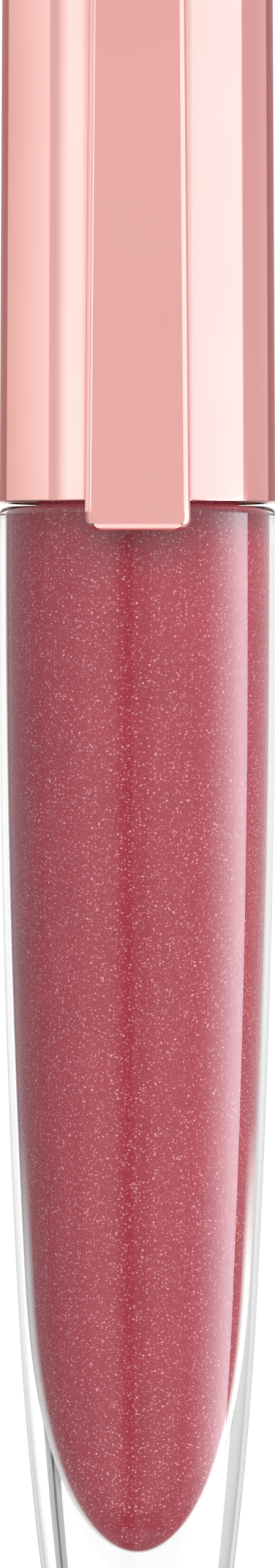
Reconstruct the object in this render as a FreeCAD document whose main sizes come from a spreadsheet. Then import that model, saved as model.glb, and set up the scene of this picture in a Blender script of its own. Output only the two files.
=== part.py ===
import FreeCAD, Part
import math
import os

import Sketcher

# A slim lip gloss tube: a thick-walled clear bottle that narrows to a solid base, a screw cap with
# a drafted metal shell and a flat metal clip down its front, and a wand that hangs from the cap
# through a wiper into the gloss.
#
# Frame: +Z up, the origin at the centre of the base, the clip faces -Y. Sizes are millimetres.
# Every piece but the clip and the slanted tip is turned about Z, so most outlines are drawn in the
# XZ plane as (radius, height).

doc = FreeCAD.newDocument("LipGlossTube")


# --- Sizes ------------------------------------------------------------------------------------


class Dim:
    """A size with its present value and the sheet formula that gives it."""

    def __init__(self, value, text):
        self.value = value
        self.text = text

    def __add__(self, other):
        return combine(self, "+", other, self.value + dim(other).value)

    def __radd__(self, other):
        return dim(other) + self

    def __sub__(self, other):
        return combine(self, "-", other, self.value - dim(other).value)

    def __rsub__(self, other):
        return dim(other) - self

    def __mul__(self, other):
        return combine(self, "*", other, self.value * dim(other).value)

    def __rmul__(self, other):
        return dim(other) * self

    def __truediv__(self, other):
        return combine(self, "/", other, self.value / dim(other).value)

    def __neg__(self):
        return 0 - self


def dim(size):
    """A Dim as it is, or a plain number as a fixed Dim."""
    return size if isinstance(size, Dim) else Dim(float(size), repr(float(size)))


def combine(left, sign, right, value):
    """The Dim for a sum, difference, product or quotient of two sizes."""
    return Dim(value, f"({dim(left).text} {sign} {dim(right).text})")


def root(size):
    """The square root of a size."""
    return Dim(math.sqrt(size.value), f"sqrt({size.text})")


def larger(left, right):
    """The larger of two sizes."""
    return Dim(max(left.value, right.value), f"max({left.text}; {right.text})")


SIZES = [
    # Bottle, outside
    ("bottle_height", 74.0, "base to shoulder"),
    ("belly_radius", 9.02, "outside radius below the shoulder"),
    ("belly_length", 8.0, "length that is straight below the shoulder"),
    ("waist_height", 21.0, "height where the slow taper turns into the quick one"),
    ("waist_inset", 1.246, "how far the waist lies inside the belly"),
    ("base_inset", 3.303, "how far the base's edge lies inside the belly"),
    ("heel_round", 0.8, "rounding of the base's edge"),
    ("shoulder_round", 0.45, "rounding of the shoulder's edge"),
    # Bottle, inside
    ("wall", 3.35, "wall at the belly"),
    ("bore_length", 2.8, "depth below the shoulder where the chamber starts to narrow"),
    ("toe_inset", 0.83, "how far the chamber has narrowed where its round end starts"),
    ("toe_length", 17.95, "length of the chamber's round end"),
    ("floor", 6.05, "solid base under the chamber"),
    # Neck and thread
    ("neck_wall", 0.93, "wall of the neck under its thread"),
    ("neck_height", 11.0, "shoulder to rim"),
    ("rim_round", 0.2, "rounding of the rim"),
    ("thread_depth", 0.8, "height of a thread's ridge"),
    ("thread_root", 1.1, "width of a ridge where it starts"),
    ("thread_crest", 0.5, "width of a ridge at its crest"),
    ("ridge_sink", 0.2, "how far a ridge's root is sunk into its wall"),
    ("thread_starts", 2, "ridges of each thread"),
    ("thread_lead", 5.0, "rise of a ridge in one turn"),
    ("thread_start", 2.2, "height above the shoulder where the ridges start"),
    ("thread_end", 2.55, "depth below the rim where the ridges end"),
    ("thread_clear", 0.15, "clearance between a crest and the other thread's root"),
    # Wiper and seal
    ("press_gap", 0.02, "gap of a fit that doesn't move"),
    ("run_gap", 0.05, "gap round a part that turns"),
    ("flange_height", 0.8, "height of the wiper's flange"),
    ("flange_inset", 0.1, "how far the flange lies inside the neck's outside"),
    ("sleeve_wall", 0.8, "wall of the wiper's sleeve"),
    ("sleeve_length", 8.4, "length of the wiper's sleeve below the rim"),
    ("funnel_length", 3.2, "height of the wiper's funnel"),
    ("lip_length", 0.6, "height of the wiper's lip"),
    ("lip_gap", 0.15, "gap between the lip and the wand's widest part"),
    ("seal_height", 0.8, "thickness of the seal ring"),
    ("seal_inset", 0.3, "how far the seal lies inside the neck's outside"),
    # Cap
    ("cap_gap", 0.25, "gap between the shoulder and the shell"),
    ("shell_step", 0.01, "how far the shell stands out past the belly"),
    ("shell_length", 47.45, "length of the metal shell"),
    ("shell_draft", 0.24, "how much the shell's radius shrinks to its top"),
    ("shell_wall", 0.5, "wall of the metal shell"),
    ("shell_round", 0.7, "rounding of the shell's top edge"),
    ("edge_round", 0.12, "rounding of the shell's lower edge"),
    ("rib_height", 0.43, "height of the inner cap's grip ribs, skirt to shell"),
    ("skirt_wall", 0.55, "wall of the inner cap's skirt"),
    ("skirt_rise", 0.35, "how far the skirt starts above the shell's edge"),
    ("ceiling", 1.2, "thickness of the inner cap's ceiling"),
    ("grip_ribs", 16, "ribs that grip the shell"),
    ("rib_width", 0.9, "width of a grip rib"),
    ("fin_count", 4, "fins above the ceiling"),
    ("fin_width", 1.0, "thickness of a fin"),
    ("disc_height", 1.2, "thickness of the disc under the shell's top"),
    ("disc_gap", 0.1, "gap between that disc and the shell"),
    # Clip
    ("clip_front", 0.87, "how far the clip's face stands out past the shell's lower edge"),
    ("clip_gap", 0.12, "gap between the clip's back and the shell"),
    ("clip_drop", 1.96, "how far the clip hangs below the shell"),
    ("clip_width", 7.06, "width of the clip at its lower end"),
    ("clip_top_width", 6.2, "width of the clip at the top"),
    ("clip_corner", 0.85, "radius of the clip's lower corners"),
    ("clip_round", 0.5, "rounding of the clip's front edges"),
    ("tongue_height", 0.6, "thickness of the tongue on the shell's top"),
    ("tongue_end", 1.2, "distance from the axis to the tongue's end"),
    ("peg_radius", 0.7, "radius of the clip's pegs"),
    ("peg_length", 1.5, "length of the clip's pegs"),
    ("peg_spread", 1.6, "distance of each peg from the middle"),
    ("peg_reach", 4.2, "distance of the pegs in front of the axis"),
    # Wand
    ("stem_radius", 2.1, "radius of the stem in the wiper"),
    ("slim_radius", 1.55, "radius of the slim part of the stem"),
    ("thick_length", 12.0, "length of the stem's thick part below its collar"),
    ("taper_length", 8.0, "length of the stem's taper"),
    ("collar_inset", 0.9, "how far the collar stands out past the stem"),
    ("collar_length", 1.7, "length of the collar under the ceiling"),
    ("plug_radius", 2.2, "radius of the plug that is pressed into the inner cap"),
    ("plug_length", 9.8, "length of the plug"),
    ("plug_room", 0.2, "gap above the plug"),
    ("boss_wall", 1.4, "wall of the boss round the plug"),
    ("tip_radius", 2.1, "radius of the flocked tip"),
    ("tip_length", 14.0, "length of the flocked tip"),
    ("tip_point", 3.5, "length of the tip's rounded end"),
    ("tip_blunt", 0.6, "radius of the flat at the very end of the tip"),
    ("tip_shoulder", 3.0, "length over which the tip narrows to the stem"),
    ("slant_length", 8.5, "length of the slanted face"),
    ("slant_depth", 2.0, "depth of the slanted face at the very end"),
    ("tip_gap", 7.95, "height of the tip above the chamber's floor"),
    ("tip_peg_radius", 1.0, "radius of the peg that holds the tip"),
    ("tip_peg_length", 3.8, "length of the peg that holds the tip"),
    # Gloss
    ("film", 0.02, "gap between the gloss and the wall"),
    ("fill_gap", 1.5, "depth of the gloss below the wiper"),
    ("channel_gap", 0.25, "gap between the wand and the gloss"),
]


def make_sheet(rows):
    """Writes the driving sizes to a sheet and returns each one as a Dim, by its alias."""
    sheet = doc.addObject("Spreadsheet::Sheet", "Sizes")
    sizes = {}
    for row, (alias, value, note) in enumerate(rows, start=1):
        sheet.set(f"A{row}", alias)
        sheet.set(f"B{row}", str(value))
        sheet.set(f"C{row}", note)
        sheet.setAlias(f"B{row}", alias)
        sizes[alias] = Dim(float(value), f"Sizes.{alias}")
    doc.recompute()
    return sizes


size = make_sheet(SIZES)

# Heights that several pieces share, from the base up.
shoulder = size["bottle_height"]
rim = shoulder + size["neck_height"]
flange_top = rim + size["flange_height"]
ceiling_under = flange_top + size["seal_height"]
ceiling_over = ceiling_under + size["ceiling"]
cap_edge = shoulder + size["cap_gap"]
shell_top = cap_edge + size["shell_length"]
disc_over = shell_top - size["shell_wall"]
disc_under = disc_over - size["disc_height"]
clip_end = cap_edge - size["clip_drop"]
clip_top = shell_top + size["tongue_height"]
tip_end = size["floor"] + size["tip_gap"]
tip_top = tip_end + size["tip_length"]
collar_under = ceiling_under - size["collar_length"]
lip_top = rim - size["sleeve_length"]
lip_end = lip_top - size["lip_length"]

# Radii that several pieces share. The shell follows the belly, and all that it holds fits inside
# it, down to the neck's bore.
chamber = size["belly_radius"] - size["wall"]
shell_low = size["belly_radius"] + size["shell_step"]
shell_slope = size["shell_draft"] / size["shell_length"]
skirt = shell_low - size["shell_wall"] - size["rib_height"]
thread_bore = skirt - size["skirt_wall"]
neck = thread_bore - size["thread_clear"] - size["thread_depth"]
bore = neck - size["neck_wall"]
collar = size["stem_radius"] + size["collar_inset"]
wand_widest = larger(size["stem_radius"], size["tip_radius"])


def shell_outside(height):
    """The shell's outside radius at a height."""
    return shell_low - (height - cap_edge) * shell_slope


def shell_inside(height):
    """The shell's inside radius at a height."""
    return shell_outside(height) - size["shell_wall"]


# --- Drawing helpers --------------------------------------------------------------------------


LINE_START, LINE_END, CENTRE = 1, 2, 3
ORIGIN, X_AXIS, Y_AXIS = (-1, 1), -1, -2
TOLERANCE = 1e-4
EDGE_SAMPLES = 7
FULL_TURN = 360


class Corner:
    """A corner of an outline, and the radius of the arc that leads to it, if one does."""

    def __init__(self, x, y, radius=None):
        self.x = dim(x)
        self.y = dim(y)
        self.radius = radius
        self.point = FreeCAD.Vector(self.x.value, self.y.value, 0)


def upright_arc(from_x, from_y, to_x, to_y):
    """The radius of the arc that leaves or reaches its first point parallel to Z."""
    run = from_x - to_x
    rise = from_y - to_y
    return (run * run + rise * rise) / (2 * run)


def origin_part(body, role):
    """One of a body's own origin planes or axes."""
    return next(part for part in body.Origin.OriginFeatures if part.Role == role)


def new_body(name):
    """A body whose name and label are those of the piece."""
    body = doc.addObject("PartDesign::Body", name)
    body.Label = name
    return body


def bind(thing, prop, value):
    """Sets a property and ties it to the sheet."""
    setattr(thing, prop, value.value)
    thing.setExpression(prop, value.text)


def new_sketch(body, name, plane, height=None):
    """A sketch on a plane of the body's origin, moved out along that plane's normal."""
    sketch = body.newObject("Sketcher::SketchObject", name)
    attach(sketch, body, plane, height)
    return sketch


def attach(thing, body, plane, height=None):
    """Lays a sketch or solid on a plane of the body's origin, or at a height above it."""
    thing.AttachmentSupport = [(origin_part(body, plane), "")]
    thing.MapMode = "FlatFace"
    if height is not None:
        thing.AttachmentOffset = FreeCAD.Placement(
            FreeCAD.Vector(0, 0, height.value), FreeCAD.Rotation())
        thing.setExpression("AttachmentOffset.Base.z", height.text)


def arc_between(start, end, radius):
    """The short arc that runs anticlockwise from start to end."""
    chord = end - start
    centre_rise = math.sqrt(radius ** 2 - (chord.Length / 2) ** 2)
    left = FreeCAD.Vector(-chord.y, chord.x, 0).normalize()
    centre = (start + end) * 0.5 + left * centre_rise
    first_angle = math.atan2(start.y - centre.y, start.x - centre.x)
    last_angle = math.atan2(end.y - centre.y, end.x - centre.x)
    if last_angle < first_angle:
        last_angle += 2 * math.pi
    circle = Part.Circle(centre, FreeCAD.Vector(0, 0, 1), radius)
    return Part.ArcOfCircle(circle, first_angle, last_angle)


def fix_size(sketch, kind, where, length):
    """Adds a dimension to a sketch and ties it to the sheet."""
    index = sketch.addConstraint(Sketcher.Constraint(kind, *where, length.value))
    sketch.setExpression(f"Constraints[{index}]", length.text)


def fix_point(sketch, edge, end, corner):
    """Fixes a point by its two coordinates, or to an axis where one of them is zero."""
    for kind, axis, length in (("DistanceX", Y_AXIS, corner.x), ("DistanceY", X_AXIS, corner.y)):
        if length.value == 0:
            sketch.addConstraint(Sketcher.Constraint("PointOnObject", edge, end, axis))
        else:
            fix_size(sketch, kind, (*ORIGIN, edge, end), length)


def outline(body, name, corners, plane="XZ_Plane", height=None):
    """Draws a closed outline through corners given anticlockwise as (x, y) or (x, y, arc radius)."""
    sketch = new_sketch(body, name, plane, height)
    corners = [Corner(*corner) for corner in corners]
    count = len(corners)
    for number, corner in enumerate(corners):
        after = corners[(number + 1) % count]
        if after.radius:
            edge = arc_between(corner.point, after.point, after.radius.value)
        else:
            edge = Part.LineSegment(corner.point, after.point)
        sketch.addGeometry(edge, False)
    for number, corner in enumerate(corners):
        before = (number - 1) % count
        sketch.addConstraint(Sketcher.Constraint(
            "Coincident", before, LINE_END, number, LINE_START))
        fix_point(sketch, number, LINE_START, corner)
        if corner.radius:
            fix_size(sketch, "Radius", (before,), corner.radius)
    return sketch


def circles(body, name, plane, height, centres, radius):
    """Draws equal circles on a plane."""
    sketch = new_sketch(body, name, plane, height)
    for number, centre in enumerate(Corner(*centre) for centre in centres):
        circle = Part.Circle(centre.point, FreeCAD.Vector(0, 0, 1), radius.value)
        sketch.addGeometry(circle, False)
        fix_point(sketch, number, CENTRE, centre)
        fix_size(sketch, "Radius", (number,), radius)
    return sketch


def turn(body, name, corners, kind="PartDesign::Revolution"):
    """Turns an outline about Z, to add it or, as a PartDesign::Groove, to cut it."""
    sketch = outline(body, f"{name}_outline", corners)
    feature = body.newObject(kind, name)
    feature.Profile = sketch
    feature.ReferenceAxis = (sketch, ["V_Axis"])
    feature.Angle = FULL_TURN
    return feature


def extrude(body, name, sketch, length, kind="PartDesign::Pad", both_ways=False, backwards=False):
    """Pads or pockets a sketch by a length."""
    feature = body.newObject(kind, name)
    feature.Profile = sketch
    bind(feature, "Length", length)
    if both_ways:
        feature.SideType = "Symmetric"
    feature.Reversed = backwards
    return feature


def pattern(body, name, feature, count):
    """Repeats a feature evenly round Z."""
    copies = body.newObject("PartDesign::PolarPattern", name)
    copies.Originals = [feature]
    copies.Axis = (origin_part(body, "Z_Axis"), [""])
    copies.Angle = FULL_TURN
    copies.Occurrences = int(count.value)
    copies.setExpression("Occurrences", count.text)
    body.Tip = copies
    return copies


def edges_where(feature, test):
    """The names of a feature's edges whose every point passes a test."""
    return [f"Edge{number}" for number, edge in enumerate(feature.Shape.Edges, start=1)
            if not edge.Degenerated and all(test(point) for point in edge.discretize(EDGE_SAMPLES))]


def near(value, target):
    """Whether a coordinate lies on a target height, radius or plane."""
    return abs(value - target.value) < TOLERANCE


def ring_edge(feature, radius, height):
    """The circular edges of a turned feature at a radius and a height."""
    return edges_where(feature, lambda p: near(math.hypot(p.x, p.y), radius) and near(p.z, height))


def fillet(body, name, feature, edges, radius):
    """Rounds edges of a feature that has been recomputed."""
    rounding = body.newObject("PartDesign::Fillet", name)
    rounding.Base = (feature, edges)
    bind(rounding, "Radius", radius)
    return rounding


def thread(body, name, wall_radius, crest_radius, first_height):
    """Adds a right-hand thread whose ridges stand on a wall and reach a crest radius."""
    outward = crest_radius.value > wall_radius.value
    sink = size["ridge_sink"] if outward else -size["ridge_sink"]
    half_root = size["thread_root"] / 2
    half_crest = size["thread_crest"] / 2
    ridge = outline(body, f"{name}_ridge", [
        (wall_radius - sink, first_height - half_root),
        (wall_radius, first_height - half_root),
        (crest_radius, first_height - half_crest),
        (crest_radius, first_height + half_crest),
        (wall_radius, first_height + half_root),
        (wall_radius - sink, first_height + half_root),
    ])
    helix = body.newObject("PartDesign::AdditiveHelix", f"{name}_helix")
    helix.Profile = ridge
    helix.ReferenceAxis = (ridge, ["V_Axis"])
    helix.Mode = "pitch-turns-angle"
    ridge_rise = size["neck_height"] - size["thread_start"] - size["thread_end"]
    bind(helix, "Pitch", size["thread_lead"])
    bind(helix, "Turns", ridge_rise / size["thread_lead"])
    helix.LeftHanded = False
    helix.Reversed = False
    return pattern(body, f"{name}_starts", helix, size["thread_starts"])


def round_end(body, name, kind, gap):
    """Adds or cuts the chamber's round end: an ellipsoid whose widest ring is where the end starts."""
    end = body.newObject(kind, name)
    attach(end, body, "XY_Plane", size["floor"] + size["toe_length"])
    bind(end, "Radius1", size["toe_length"] - gap)
    bind(end, "Radius2", chamber - size["toe_inset"] - gap)
    bind(end, "Radius3", chamber - size["toe_inset"] - gap)
    return end


def chamber_side(gap):
    """The chamber and the neck's bore above the round end, less a gap all round."""
    toe = size["floor"] + size["toe_length"]
    bend = shoulder - size["bore_length"]
    narrow = chamber - size["toe_inset"]
    sweep = upright_arc(chamber, bend, narrow, toe) - gap
    return [
        (0, toe),
        (narrow - gap, toe),
        (chamber - gap, bend, sweep),
        (bore - gap, shoulder),
        (bore - gap, rim),
        (0, rim),
    ]


def peg_centres():
    """Where the clip's two pegs stand, seen from above."""
    return [(-size["peg_spread"], -size["peg_reach"]), (size["peg_spread"], -size["peg_reach"])]


# --- Pieces -----------------------------------------------------------------------------------


def make_bottle():
    """Clear bottle: tapered thick wall, solid base, threaded neck."""
    body = new_body("bottle")
    belly = size["belly_radius"]
    belly_end = shoulder - size["belly_length"]
    waist = belly - size["waist_inset"]
    base = belly - size["base_inset"]
    slow = upright_arc(belly, belly_end, waist, size["waist_height"])
    # The quick taper leaves the waist in the slow one's direction, whose slope is lean.
    lean = (belly_end - size["waist_height"]) / slow
    run = waist - base
    rise = size["waist_height"]
    quick = (run * run + rise * rise) / (2 * (run * root(1 - lean * lean) - rise * lean))
    outside = turn(body, "bottle_outside", [
        (0, 0),
        (base, 0),
        (waist, size["waist_height"], quick),
        (belly, belly_end, slow),
        (belly, shoulder),
        (neck, shoulder),
        (neck, rim),
        (0, rim),
    ])
    doc.recompute()
    heel = fillet(body, "heel", outside, ring_edge(outside, base, dim(0)), size["heel_round"])
    doc.recompute()
    edge = fillet(body, "shoulder_edge", heel, ring_edge(heel, belly, shoulder),
                  size["shoulder_round"])
    doc.recompute()
    fillet(body, "rim_edge", edge, ring_edge(edge, neck, rim), size["rim_round"])
    turn(body, "chamber_bore", chamber_side(dim(0)), "PartDesign::Groove")
    round_end(body, "chamber_end", "PartDesign::SubtractiveEllipsoid", dim(0))
    thread(body, "neck_thread", neck, neck + size["thread_depth"], shoulder + size["thread_start"])
    return body


def make_gloss_fill():
    """The gloss, with a channel for the wand to stand in."""
    body = new_body("gloss_fill")
    gap = size["film"]
    turn(body, "gloss_side", chamber_side(gap))
    round_end(body, "gloss_end", "PartDesign::AdditiveEllipsoid", gap)
    channel = wand_widest + size["channel_gap"]
    channel_end = tip_end - size["channel_gap"]
    level = lip_end - size["fill_gap"]
    turn(body, "channel_and_headspace", [
        (0, channel_end),
        (channel, channel_end),
        (channel, level),
        (size["belly_radius"], level),
        (size["belly_radius"], rim),
        (0, rim),
    ], "PartDesign::Groove")
    return body


def make_wiper():
    """Soft plug in the neck: a flange on the rim, a sleeve, and a funnel down to a lip."""
    body = new_body("wiper")
    outside = bore - size["press_gap"]
    inside = outside - size["sleeve_wall"]
    lip = wand_widest + size["lip_gap"]
    funnel_top = lip_top + size["funnel_length"]
    turn(body, "wiper_body", [
        (outside, rim),
        (neck - size["flange_inset"], rim),
        (neck - size["flange_inset"], flange_top),
        (inside, flange_top),
        (inside, funnel_top),
        (lip, lip_top),
        (lip, lip_end),
        (lip + size["lip_length"], lip_end),
        (outside, funnel_top - size["sleeve_wall"]),
    ])
    return body


def make_seal_ring():
    """Liner ring between the neck's rim and the cap's ceiling."""
    body = new_body("seal_ring")
    hole = collar + size["run_gap"]
    edge = neck - size["seal_inset"]
    turn(body, "ring", [
        (hole, flange_top),
        (edge, flange_top),
        (edge, ceiling_under),
        (hole, ceiling_under),
    ])
    return body


def make_inner_cap():
    """Plastic liner: threaded skirt, ceiling, boss for the wand, ribs and fins that fill the shell."""
    body = new_body("inner_cap")
    socket = size["plug_radius"] + size["press_gap"]
    socket_top = ceiling_under + size["plug_length"] + size["plug_room"]
    post = socket + size["boss_wall"]
    skirt_end = cap_edge + size["skirt_rise"]
    disc = shell_inside(disc_over) - size["disc_gap"]
    turn(body, "liner", [
        (socket, ceiling_under),
        (thread_bore, ceiling_under),
        (thread_bore, skirt_end),
        (skirt, skirt_end),
        (skirt, ceiling_over),
        (post, ceiling_over),
        (post, disc_under),
        (disc, disc_under),
        (disc, disc_over),
        (0, disc_over),
        (0, socket_top),
        (socket, socket_top),
    ])
    overlap = size["skirt_wall"] / 2
    rib_end = skirt_end + size["skirt_wall"]
    rib_outline = outline(body, "rib_outline", [
        (skirt - overlap, rib_end),
        (shell_inside(rib_end) - size["press_gap"], rib_end),
        (shell_inside(ceiling_over) - size["press_gap"], ceiling_over),
        (skirt - overlap, ceiling_over),
    ])
    rib = extrude(body, "rib", rib_outline, size["rib_width"], both_ways=True)
    pattern(body, "ribs", rib, size["grip_ribs"])
    fin_outline = outline(body, "fin_outline", [
        (post - overlap, ceiling_over - overlap),
        (skirt - overlap, ceiling_over - overlap),
        (skirt - overlap, disc_under + overlap),
        (post - overlap, disc_under + overlap),
    ])
    fin = extrude(body, "fin", fin_outline, size["fin_width"], both_ways=True)
    pattern(body, "fins", fin, size["fin_count"])
    # The cap's ridges lie half a spacing above the neck's, in the gaps between them.
    spacing = size["thread_lead"] / size["thread_starts"]
    thread(body, "cap_thread", thread_bore, neck + size["thread_clear"],
           shoulder + size["thread_start"] + spacing / 2)
    holes = circles(body, "peg_hole_circles", "XY_Plane", disc_over, peg_centres(),
                    size["peg_radius"] + size["press_gap"])
    extrude(body, "peg_holes", holes, size["disc_height"], "PartDesign::Pocket")
    return body


def make_cap_shell():
    """Drafted metal shell, closed at the top, with two holes for the clip's pegs."""
    body = new_body("cap_shell")
    under = disc_over
    cup = turn(body, "cup", [
        (shell_inside(cap_edge), cap_edge),
        (shell_outside(cap_edge), cap_edge),
        (shell_outside(shell_top), shell_top),
        (0, shell_top),
        (0, under),
        (shell_inside(under), under),
    ])
    doc.recompute()
    top = fillet(body, "top_edge", cup, ring_edge(cup, shell_outside(shell_top), shell_top),
                 size["shell_round"])
    doc.recompute()
    fillet(body, "lower_edge", top, ring_edge(top, shell_outside(cap_edge), cap_edge),
           size["edge_round"])
    holes = circles(body, "peg_hole_circles", "XY_Plane", shell_top, peg_centres(),
                    size["peg_radius"] + size["run_gap"])
    extrude(body, "peg_holes", holes, size["shell_wall"], "PartDesign::Pocket")
    return body


def make_clip():
    """Flat-faced metal strip: hangs past the shell's edge, folds over its top and is pegged there."""
    body = new_body("clip")
    low = size["clip_width"] / 2
    high = size["clip_top_width"] / 2
    corner = size["clip_corner"]
    front = shell_low + size["clip_front"]
    face = outline(body, "face_outline", [
        (corner - low, clip_end, corner),
        (low - corner, clip_end),
        (low, clip_end + corner, corner),
        (high, clip_top),
        (-high, clip_top),
        (-low, clip_end + corner),
    ], "XZ_Plane", size["tongue_end"])
    strip = extrude(body, "strip", face, front - size["tongue_end"])
    doc.recompute()
    edges = edges_where(strip, lambda p: near(p.y, -front) or near(p.z, clip_top))
    fillet(body, "front_edges", strip, edges, size["clip_round"])
    below = clip_end - size["clip_drop"]
    turn(body, "shell_clearance", [
        (0, below),
        (shell_outside(below) + size["clip_gap"], below),
        (shell_outside(shell_top) + size["clip_gap"], shell_top),
        (0, shell_top),
    ], "PartDesign::Groove")
    pegs = circles(body, "peg_circles", "XY_Plane", shell_top, peg_centres(), size["peg_radius"])
    extrude(body, "pegs", pegs, size["peg_length"], backwards=True)
    return body


def make_wand_rod():
    """Stem of the wand: a plug in the cap's boss, a collar, and a stem that thins below the wiper."""
    body = new_body("wand_rod")
    thick_end = collar_under - size["thick_length"]
    slim_start = thick_end - size["taper_length"]
    socket = size["tip_peg_radius"] + size["press_gap"]
    socket_top = tip_top + size["tip_peg_length"] + size["press_gap"]
    plug_top = ceiling_under + size["plug_length"]
    turn(body, "stem", [
        (socket, tip_top),
        (size["slim_radius"], tip_top),
        (size["slim_radius"], slim_start),
        (size["stem_radius"], thick_end),
        (size["stem_radius"], collar_under),
        (collar, collar_under),
        (collar, ceiling_under),
        (size["plug_radius"], ceiling_under),
        (size["plug_radius"], plug_top),
        (0, plug_top),
        (0, socket_top),
        (socket, socket_top),
    ])
    return body


def make_applicator():
    """Flocked slanted tip on a peg that sits in the stem's end."""
    body = new_body("applicator")
    widest = size["tip_radius"]
    blunt = size["tip_blunt"]
    point_top = tip_end + size["tip_point"]
    turn(body, "tip", [
        (0, tip_end),
        (blunt, tip_end),
        (widest, point_top, upright_arc(widest, point_top, blunt, tip_end)),
        (widest, tip_top - size["tip_shoulder"]),
        (size["slim_radius"], tip_top),
        (size["tip_peg_radius"], tip_top),
        (size["tip_peg_radius"], tip_top + size["tip_peg_length"]),
        (0, tip_top + size["tip_peg_length"]),
    ])
    # The slant is cut along twice its length, so that the cut leaves the tip at its side.
    outside = -widest - size["slant_depth"]
    cut_top = tip_end + size["slant_length"] * 2
    slant = outline(body, "slant_outline", [
        (outside, tip_end),
        (size["slant_depth"] - widest, tip_end),
        (outside, cut_top),
    ], "YZ_Plane")
    extrude(body, "slanted_face", slant, widest * 4, "PartDesign::Pocket", both_ways=True)
    return body


# --- Build, check and write -------------------------------------------------------------------


def check_document():
    """Stops if any object of the document failed to compute."""
    failed = [thing.Name for thing in doc.Objects
              if {"Invalid", "Error"} & set(thing.State)]
    if failed:
        raise RuntimeError(f"objects that failed: {failed}")


def check_piece(body):
    """Stops if a piece isn't one whole, valid solid."""
    shape = body.Shape
    if shape.isNull() or not shape.isValid() or len(shape.Solids) != 1:
        raise RuntimeError(f"{body.Label} isn't one valid solid")


def main():
    """Makes every piece, checks them all, then writes each one to parts/."""
    pieces = [
        make_bottle(),
        make_gloss_fill(),
        make_wiper(),
        make_seal_ring(),
        make_inner_cap(),
        make_cap_shell(),
        make_clip(),
        make_wand_rod(),
        make_applicator(),
    ]
    doc.recompute()
    check_document()
    for body in pieces:
        check_piece(body)
    os.makedirs("parts", exist_ok=True)
    for body in pieces:
        body.Shape.exportStep(f"parts/{body.Label}.step")
        box = body.Shape.BoundBox
        print(f"{body.Label}: {body.Shape.Volume:.1f} mm3, z {box.ZMin:.2f} to {box.ZMax:.2f}")


main()
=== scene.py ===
"""Looks of a lip gloss tube: clear bottle, shimmering gloss, rose metal cap with a clip and a wand inside.

Meshes are in metres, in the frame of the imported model, and are worked out in mm. A sub-assembly is a
class that holds its sizes, builds its meshes and dresses them. A finish is a frozen dataclass that makes
one material.
"""
import logging
import math
from dataclasses import dataclass
from enum import Enum

import bpy
import numpy as np
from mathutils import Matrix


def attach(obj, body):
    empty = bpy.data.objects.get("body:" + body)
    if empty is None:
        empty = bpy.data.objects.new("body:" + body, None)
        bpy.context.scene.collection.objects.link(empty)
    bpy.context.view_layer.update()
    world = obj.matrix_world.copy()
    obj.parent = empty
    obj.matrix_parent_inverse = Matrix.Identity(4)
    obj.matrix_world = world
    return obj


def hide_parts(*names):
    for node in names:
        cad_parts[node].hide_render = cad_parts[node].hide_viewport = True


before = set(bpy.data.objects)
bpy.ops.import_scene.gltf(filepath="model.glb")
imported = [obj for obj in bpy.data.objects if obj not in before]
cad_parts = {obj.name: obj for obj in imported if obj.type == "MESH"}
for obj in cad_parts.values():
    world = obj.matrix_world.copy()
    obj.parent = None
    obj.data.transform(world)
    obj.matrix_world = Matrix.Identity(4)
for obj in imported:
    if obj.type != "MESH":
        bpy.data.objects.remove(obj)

LOG = logging.getLogger("gloss_tube")
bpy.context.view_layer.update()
MM = 0.001
TURN = 2 * math.pi
REPEAT = 1e-5
NOISE_CORE = (0.35, 0.65)
NOISE_SPAN = (0.3, 0.7)
Pair = tuple[float, float]
Colour = tuple[float, float, float]
Rows = tuple[Pair, ...]
Tints = tuple[tuple[float, float, float, float], ...]


# ---------------------------------------------------------------- surfaces


class Ends(Enum):
    """How a turned profile is closed."""

    POLES = "from a point on the axis to a point on the axis"
    RING = "last point joined to the first"


@dataclass(frozen=True)
class Arc:
    """Run of a profile along a circle: centre plus radius times (cosine, sine) of evenly spaced angles.

    The centre is a radius and a height in mm. Angles are in degrees, 0 pointing outwards and 90 up.
    """

    centre: Pair
    radius: float
    start: float
    end: float
    count: int

    def points(self) -> np.ndarray:
        """Array (count, 2) of radius and height."""
        angle = np.radians(np.linspace(self.start, self.end, self.count))
        return np.column_stack([self.centre[0] + self.radius * np.cos(angle),
                                self.centre[1] + self.radius * np.sin(angle)])


@dataclass(frozen=True)
class Line:
    """Run of a profile along a straight line between two points, each a radius and a height in mm."""

    start: Pair
    end: Pair
    count: int

    def points(self) -> np.ndarray:
        """Array (count, 2) of radius and height."""
        return np.linspace(self.start, self.end, self.count)


Outline = tuple[Arc | Line, ...]


def joined(*runs: Arc | Line | np.ndarray) -> np.ndarray:
    """Runs of profile points one after the other, with points that repeat their neighbour left out.

    Args:
        runs: arcs, lines or arrays (n, 2) of radius and height.

    Returns:
        One array (n, 2).
    """
    points = np.vstack([run if isinstance(run, np.ndarray) else run.points() for run in runs])
    step = np.linalg.norm(np.diff(points, axis=0), axis=1)
    return points[np.concatenate([[True], step > REPEAT])]


def grid_faces(rows: int, columns: int, wrap_rows: bool) -> np.ndarray:
    """Four-sided faces of a grid whose columns always close round.

    Args:
        rows: number of rows.
        columns: points in a row.
        wrap_rows: whether the last row joins the first.

    Returns:
        Array (faces, 4) of point numbers, counter-clockwise from outside.
    """
    index = np.arange(rows * columns).reshape(rows, columns)
    low = index if wrap_rows else index[:-1]
    high = np.roll(index, -1, axis=0) if wrap_rows else index[1:]
    quads = [low, np.roll(low, -1, axis=1), np.roll(high, -1, axis=1), high]
    return np.stack(quads, axis=-1).reshape(-1, 4)


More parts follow.
